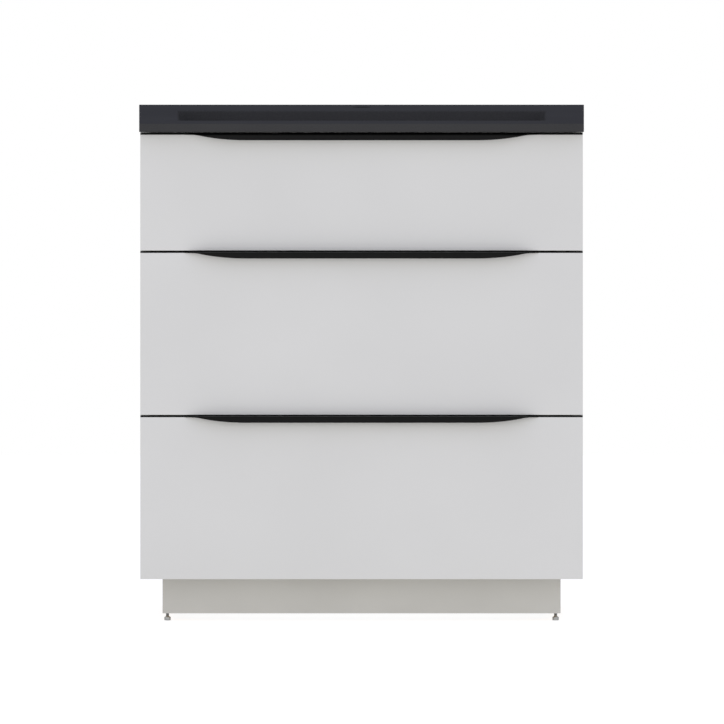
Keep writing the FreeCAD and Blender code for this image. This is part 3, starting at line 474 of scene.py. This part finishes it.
def piece(name, shape, slot, body, *stands_for):
    """A finished object of a shape, riding on a body, in place of the nodes it stands for."""
    bmesh.ops.recalc_face_normals(shape, faces=shape.faces)
    data = bpy.data.meshes.new(name)
    shape.to_mesh(data)
    shape.free()
    data.shade_smooth()
    data.set_sharp_from_angle(angle=SMOOTH_UNDER)
    data.materials.append(finish_for(name, slot))
    made = bpy.data.objects.new(name, data)
    bpy.context.scene.collection.objects.link(made)
    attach(made, body)
    if stands_for:
        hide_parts(*stands_for)
    return made


def spun(shape, profile, at):
    """A solid of revolution about an upright line, from points of radius and height."""
    spots = [shape.verts.new((at.x + r, at.y, at.z + z)) for r, z in profile]
    edges = [shape.edges.new(pair) for pair in zip(spots, spots[1:])]
    bmesh.ops.spin(shape, geom=spots + edges, cent=at, axis=(0, 0, 1), angle=2 * pi,
                   steps=ROUND_STEPS, use_merge=True, use_duplicate=False)
    bmesh.ops.remove_doubles(shape, verts=shape.verts, dist=WELD)


def islands(node):
    """The lowest and highest corners of each separate solid in a node."""
    shape = bmesh.new()
    shape.from_mesh(NODES[node].data)
    bmesh.ops.remove_doubles(shape, verts=shape.verts, dist=WELD)
    left = set(shape.verts)
    found = []
    while left:
        waiting = [left.pop()]
        spots = []
        while waiting:
            spot = waiting.pop()
            spots.append(spot.co.copy())
            beside = {edge.other_vert(spot) for edge in spot.link_edges} & left
            left -= beside
            waiting += beside
        found.append((Vector(map(min, zip(*spots))), Vector(map(max, zip(*spots)))))
    shape.free()
    return found


def set_of(name, single, places, slot, body, node):
    """Copies of one shape drawn upright at the origin, each moved and turned to face a way."""
    whole = bmesh.new()
    data = bpy.data.meshes.new(name)
    for at, way in places:
        copy = single.copy()
        turn = Vector((0, 0, 1)).rotation_difference(way).to_matrix().to_4x4()
        copy.transform(Matrix.Translation(at) @ turn)
        copy.to_mesh(data)
        whole.from_mesh(data)
        copy.free()
    bpy.data.meshes.remove(data)
    single.free()
    piece(name, whole, slot, body, node)


CROSS_ARM = 0.28               # half the width of a recess's arm, as a share of its reach
CROSS_NARROWS = 0.7            # how much narrower a recess is at its bottom


def driven(profile, reach, deep):
    """A turned piece, its profile drawn from the brim of its flat top, with a cross recess."""
    shape = bmesh.new()
    spun(shape, profile, Vector())
    brim = [edge for edge in shape.edges if edge.is_boundary]
    level = profile[0][1]
    arm = reach * CROSS_ARM
    spots = [shape.verts.new(Matrix.Rotation(pi / 2 * turn, 3, "Z") @ Vector((x, y, level)))
             for turn in range(4) for x, y in ((reach, arm), (arm, arm), (arm, reach))]
    cross = [shape.edges.new(pair) for pair in zip(spots, spots[1:] + spots[:1])]
    bmesh.ops.bridge_loops(shape, edges=brim + cross)
    sunk = bmesh.ops.extrude_edge_only(shape, edges=cross)["geom"]
    low = [item for item in sunk if isinstance(item, bmesh.types.BMVert)]
    bmesh.ops.scale(shape, verts=low, vec=(CROSS_NARROWS, CROSS_NARROWS, 1))
    bmesh.ops.translate(shape, verts=low, vec=(0, 0, -deep))
    bmesh.ops.holes_fill(shape, edges=[edge for edge in shape.edges if edge.is_boundary])
    return shape


SCREW_PITCH = 1.3 * MM
SCREW_TIP = 3 * MM
SCREW_ROOT = 0.7               # the radius between the threads, as a share of the shank's
HANDLE_HEAD = 4 * MM           # the radius of a head, its thickness and the shank's radius
HANDLE_HEAD_THICK = 2 * MM
HANDLE_SHANK = 1.75 * MM
RUNNER_HEAD = 3.5 * MM
RUNNER_HEAD_THICK = 1.6 * MM
RUNNER_SHANK = 2 * MM


def pan_screw(head, thick, shank, length):
    """A pan-head wood screw: its head stands on z = 0, its thread and its point hang below."""
    root = shank * SCREW_ROOT
    profile = [(head * 0.6, thick), (head * 0.85, thick * 0.82), (head * 0.97, thick * 0.45),
               (head, 0), (root, 0)]
    height = -SCREW_PITCH
    while height > SCREW_TIP - length:
        profile += [(root, height), (shank, height - SCREW_PITCH * 0.25),
                    (root, height - SCREW_PITCH * 0.5)]
        height -= SCREW_PITCH
    profile.append((0, -length))
    return driven(profile, head * 0.52, thick * 0.8)


def handle_screws(drawer):
    """The screws that hold a handle's flange from behind its front."""
    node = f"drawer_{drawer}_handle_screws"
    boxes = islands(node)
    low, high = boxes[0]
    single = pan_screw(HANDLE_HEAD, HANDLE_HEAD_THICK, HANDLE_SHANK,
                       high.y - low.y - HANDLE_HEAD_THICK)
    places = [(Vector(((a.x + b.x) / 2, b.y - HANDLE_HEAD_THICK, (a.z + b.z) / 2)),
               Vector((0, 1, 0))) for a, b in boxes]
    set_of(f"handle_screw_set_{drawer}", single, places, "zinc_plated_steel",
           f"drawer_{drawer}", node)


def runner_screws():
    """The screws that hold the outer runner members to the carcass sides."""
    boxes = islands("runner_screws")
    low, high = boxes[0]
    single = pan_screw(RUNNER_HEAD, RUNNER_HEAD_THICK, RUNNER_SHANK,
                       high.x - low.x - RUNNER_HEAD_THICK)
    places = []
    for a, b in boxes:
        inward = 1 if a.x < 0 else -1
        face = b.x - RUNNER_HEAD_THICK if a.x < 0 else a.x + RUNNER_HEAD_THICK
        places.append((Vector((face, (a.y + b.y) / 2, (a.z + b.z) / 2)), Vector((inward, 0, 0))))
    set_of("runner_screw_set", single, places, "zinc_plated_steel", "cabinet", "runner_screws")


CAM_RADIUS = 7.5 * MM
CAM_DEEP = 12.5 * MM
CAM_RECESS = 2.5 * MM


def cam_locks():
    """Cast cams, each set flush in a board's face with its cross recess outwards."""
    single = driven([(CAM_RADIUS * 0.86, 0), (CAM_RADIUS * 0.96, -0.4 * MM),
                     (CAM_RADIUS, -1.2 * MM), (CAM_RADIUS, -CAM_DEEP), (0, -CAM_DEEP)],
                    CAM_RADIUS * 0.45, CAM_RECESS)
    places = []
    for a, b in islands("cam_locks"):
        middle = (a + b) / 2
        way = Vector((0, 0, -1)) if b.z - a.z < b.y - a.y else Vector((0, -1, 0))
        places.append((middle + way * CAM_DEEP / 2, way))
    set_of("cam_lock_set", single, places, "zinc_plated_steel", "cabinet", "cam_locks")


BUMPER_RADIUS = 4 * MM
DOME_STEPS = 8


def front_bumpers():
    """Small soft domes that a front closes against."""
    boxes = islands("front_bumpers")
    low, high = boxes[0]
    tall = high.y - low.y
    single = bmesh.new()
    turns = [step * pi / 2 / DOME_STEPS for step in range(DOME_STEPS + 1)]
    dome = [(BUMPER_RADIUS * sin(turn), tall * cos(turn)) for turn in turns]
    spun(single, dome + [(0, 0)], Vector())
    places = [(Vector(((a.x + b.x) / 2, b.y, (a.z + b.z) / 2)), Vector((0, -1, 0)))
              for a, b in boxes]
    set_of("bumper_set", single, places, "bumper_rubber", "cabinet", "front_bumpers")


HEAD_ACROSS = 10 * MM          # the foot's six-sided head, across its flats
HEAD_HIGH = 6.5 * MM
HEAD_CHAMFER = 0.7 * MM
COLLAR_RADIUS = 4.1 * MM       # the cone that the head rises to the stem by
COLLAR_HIGH = 2.4 * MM
STEM_RADIUS = 3 * MM
THREAD_PITCH = 1 * MM
THREAD_DEEP = 0.55 * MM        # of the stem's thread
SOCKET_RADIUS = 5 * MM
SOCKET_CHAMFER = 0.6 * MM
SOCKET_PLAY = 0.05 * MM        # between the stem and the socket's ridges
SOCKET_GROOVE = 0.5 * MM       # the depth of the socket's thread


def glide_sockets():
    """Steel sleeves in the plinth's underside, threaded for the levelling screws."""
    boxes = islands("glide_sockets")
    low, high = boxes[0]
    tall = high.z - low.z
    ridge = STEM_RADIUS + SOCKET_PLAY
    groove = ridge + SOCKET_GROOVE
    wall = [(SOCKET_RADIUS - SOCKET_CHAMFER, 0), (SOCKET_RADIUS, SOCKET_CHAMFER),
            (SOCKET_RADIUS, tall)]
    height = tall
    while height > THREAD_PITCH:
        wall += [(groove, height), (ridge, height - THREAD_PITCH * 0.5)]
        height -= THREAD_PITCH
    wall += [(groove, 0), wall[0]]
    single = bmesh.new()
    spun(single, wall, Vector())
    places = [(Vector(((a.x + b.x) / 2, (a.y + b.y) / 2, a.z)), Vector((0, 0, 1)))
              for a, b in boxes]
    set_of("socket_set", single, places, "zinc_plated_steel", "cabinet", "glide_sockets")


# dark plates on the fronts' top edges, painted shade for the joint above each front
SHADE_PLATE_THICK = 2 * MM
SHADE_PLATE_ARRIS = 0.4 * MM


def joint_shade_plates(drawer):
    """Thin dark plates that carry on from the handle's plate, over the rest of the front's edge:
    painted shade, a dark sheet that darkens the joint above the front.
    """
    front_low, front_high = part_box(f"drawer_{drawer}_front")
    handle_low, handle_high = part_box(f"drawer_{drawer}_handle")
    size = Vector((front_high.x - handle_high.x, front_high.y - front_low.y, SHADE_PLATE_THICK))
    shape = bmesh.new()
    for inner, way in ((handle_low.x, -1), (handle_high.x, 1)):
        plate = bmesh.ops.create_cube(shape, size=1)["verts"]
        bmesh.ops.scale(shape, verts=plate, vec=size)
        middle = Vector((inner + way * size.x / 2, (front_low.y + front_high.y) / 2,
                         front_high.z + SHADE_PLATE_THICK / 2))
        bmesh.ops.translate(shape, verts=plate, vec=middle)
    bmesh.ops.bevel(shape, geom=shape.edges[:], offset=SHADE_PLATE_ARRIS, segments=2, profile=0.5,
                    affect="EDGES", material=-1)
    piece(f"front_joint_shade_{drawer}", shape, "handle_anthracite", f"drawer_{drawer}")


def levelling_glide(end, side):
    """A levelling screw that stands on its six-sided head, its thread up in the plinth."""
    node = f"levelling_glide_{end}_{side}"
    low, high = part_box(node)
    at = Vector(((low.x + high.x) / 2, (low.y + high.y) / 2, low.z))
    shape = bmesh.new()
    corner = HEAD_ACROSS / 2 / cos(pi / 6)
    head = bmesh.ops.create_cone(shape, cap_ends=True, segments=6, radius1=corner,
                                 radius2=corner, depth=HEAD_HIGH)
    bmesh.ops.rotate(shape, verts=head["verts"], matrix=Matrix.Rotation(pi / 6, 3, "Z"))
    bmesh.ops.translate(shape, verts=head["verts"], vec=at + Vector((0, 0, HEAD_HIGH / 2)))
    level = [e for e in shape.edges if abs(e.verts[0].co.z - e.verts[1].co.z) < WELD]
    bmesh.ops.bevel(shape, geom=level, offset=HEAD_CHAMFER, segments=2, profile=0.6,
                    affect="EDGES", material=-1)
    # one turn of thread is a ridge between two roots, repeated up the stem
    root = STEM_RADIUS - THREAD_DEEP
    profile = [(0, HEAD_HIGH), (COLLAR_RADIUS, HEAD_HIGH)]
    height = HEAD_HIGH + COLLAR_HIGH
    top = high.z - low.z - THREAD_PITCH
    while height < top:
        profile += [(root, height), (STEM_RADIUS, height + THREAD_PITCH * 0.4),
                    (STEM_RADIUS, height + THREAD_PITCH * 0.6)]
        height += THREAD_PITCH
    profile += [(root, height), (root * 0.8, high.z - low.z), (0, high.z - low.z)]
    spun(shape, profile, at)
    piece(f"foot_{end}_{side}", shape, "glide_steel", f"glide_{end}_{side}", node)


# ---------------------------------------------------------------- the scene
camera()
sky()
softbox()
floor()
finish_nodes()
for end_word in ("front", "rear"):
    for side_word in SIDES:
        levelling_glide(end_word, side_word)
for drawer_word in DRAWERS:
    handle_screws(drawer_word)
    joint_shade_plates(drawer_word)
runner_screws()
cam_locks()
front_bumpers()
glide_sockets()

bpy.context.scene.view_settings.view_transform = "Standard"
